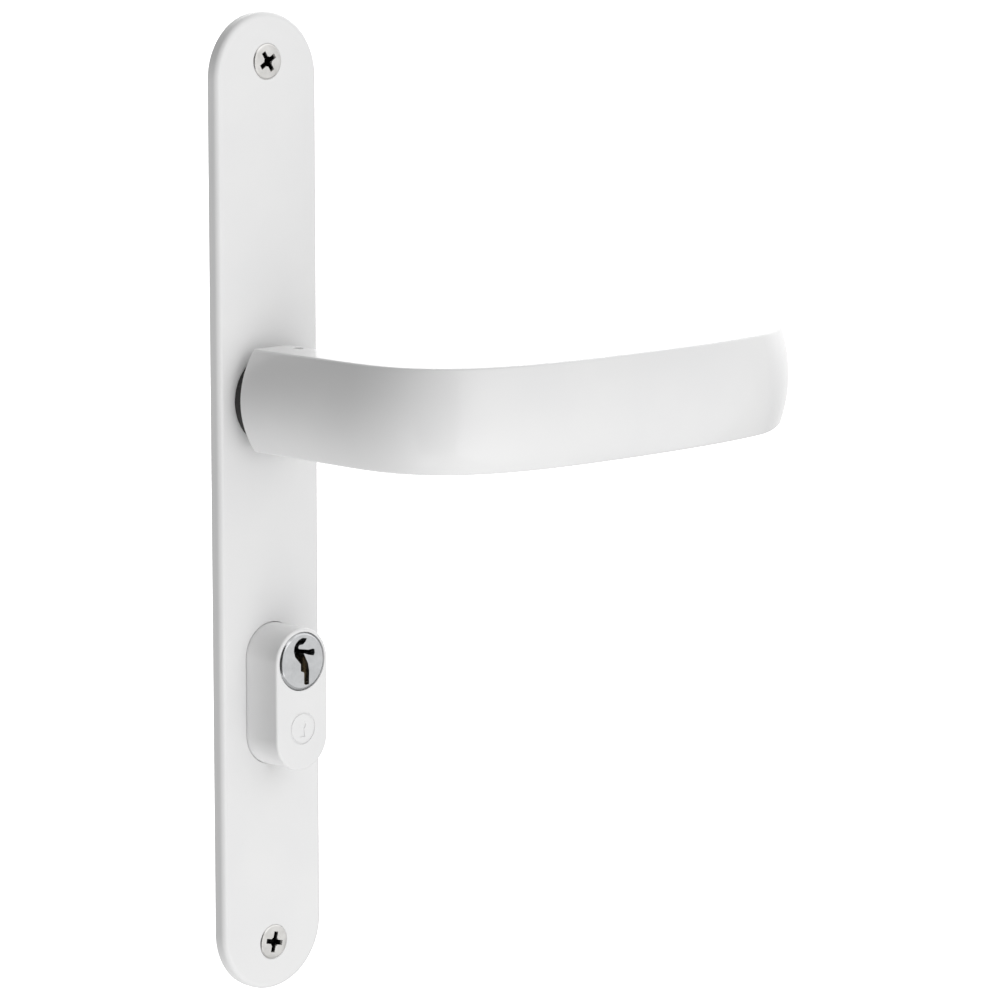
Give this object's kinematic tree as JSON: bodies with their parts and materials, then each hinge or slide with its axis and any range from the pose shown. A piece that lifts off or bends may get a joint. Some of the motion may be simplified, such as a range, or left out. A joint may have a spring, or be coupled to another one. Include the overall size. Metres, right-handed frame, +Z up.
{
  "type": "door handle set with oval half cylinder",
  "caption": "Long round-ended backplate with a curved sprung lever handle above an oval pin-tumbler half cylinder, fixed by countersunk screws.",
  "frame": {"origin": "centre of the backplate's rear face, which lies against the door, at half the plate's length", "axes": "+Z up along the plate, -Y out of the door towards the user, +X the way the lever points"},
  "size_m": [0.141, 0.098, 0.25],
  "materials": {
    "white_coat": "smooth white powder coat, satin",
    "satin_steel": "satin stainless steel",
    "zinc_plated_steel": "bright zinc plate",
    "spring_steel": "oiled spring steel",
    "chrome": "satin chrome over brass, bright chamfer",
    "brass": "turned brass",
    "black_nylon": "moulded black nylon"
  },
  "bodies": {
    "plate": {"backplate": "white_coat", "fixing_screw_top": "satin_steel", "fixing_screw_bottom": "satin_steel", "lever_bush": "black_nylon", "lever_wave_washer": "spring_steel", "lever_return_spring": "spring_steel", "cylinder_body": "white_coat", "cylinder_bracket": "zinc_plated_steel", "bracket_screw_1": "satin_steel", "bracket_screw_2": "satin_steel", "bracket_screw_3": "satin_steel", "chamber_plug_1": "brass", "chamber_plug_2": "brass", "chamber_plug_3": "brass", "chamber_plug_4": "brass", "chamber_plug_5": "brass", "pin_spring_1": "spring_steel", "pin_spring_2": "spring_steel", "pin_spring_3": "spring_steel", "pin_spring_4": "spring_steel", "pin_spring_5": "spring_steel"},
    "lever": {"lever_handle": "white_coat", "lever_pin": "satin_steel", "spindle": "zinc_plated_steel", "spring_driver": "zinc_plated_steel", "lever_circlip": "spring_steel"},
    "plug": {"cylinder_plug": "chrome", "plug_circlip": "spring_steel", "cam": "zinc_plated_steel", "cam_screw": "satin_steel", "key_pin_1": "brass", "key_pin_2": "brass", "key_pin_3": "brass", "key_pin_4": "brass", "key_pin_5": "brass"},
    "driver_1": {"driver_pin_1": "satin_steel"},
    "driver_2": {"driver_pin_2": "satin_steel"},
    "driver_3": {"driver_pin_3": "satin_steel"},
    "driver_4": {"driver_pin_4": "satin_steel"},
    "driver_5": {"driver_pin_5": "satin_steel"}
  },
  "joints": [
    {"name": "lever_turn", "type": "hinge", "parent": "plate", "child": "lever", "pos_m": [0, 0, 0.0283], "axis": [0, 1, 0], "range_deg": [0, 45], "stiffness_Nm_per_rad": 0.9, "springref_deg": -34.38},
    {"name": "plug_turn", "type": "hinge", "parent": "plate", "child": "plug", "pos_m": [0, 0, -0.0376], "axis": [0, 1, 0], "continuous": true},
    {"name": "driver_1_slide", "type": "slide", "parent": "plate", "child": "driver_1", "axis": [0, 0, -1], "range_m": [0, 0.0025], "stiffness_N_per_m": 80, "springref_m": -0.004, "deforming": ["pin_spring_1"]},
    {"name": "driver_2_slide", "type": "slide", "parent": "plate", "child": "driver_2", "axis": [0, 0, -1], "range_m": [0, 0.0025], "stiffness_N_per_m": 80, "springref_m": -0.004, "deforming": ["pin_spring_2"]},
    {"name": "driver_3_slide", "type": "slide", "parent": "plate", "child": "driver_3", "axis": [0, 0, -1], "range_m": [0, 0.0025], "stiffness_N_per_m": 80, "springref_m": -0.004, "deforming": ["pin_spring_3"]},
    {"name": "driver_4_slide", "type": "slide", "parent": "plate", "child": "driver_4", "axis": [0, 0, -1], "range_m": [0, 0.0025], "stiffness_N_per_m": 80, "springref_m": -0.004, "deforming": ["pin_spring_4"]},
    {"name": "driver_5_slide", "type": "slide", "parent": "plate", "child": "driver_5", "axis": [0, 0, -1], "range_m": [0, 0.0025], "stiffness_N_per_m": 80, "springref_m": -0.004, "deforming": ["pin_spring_5"]}
  ]
}
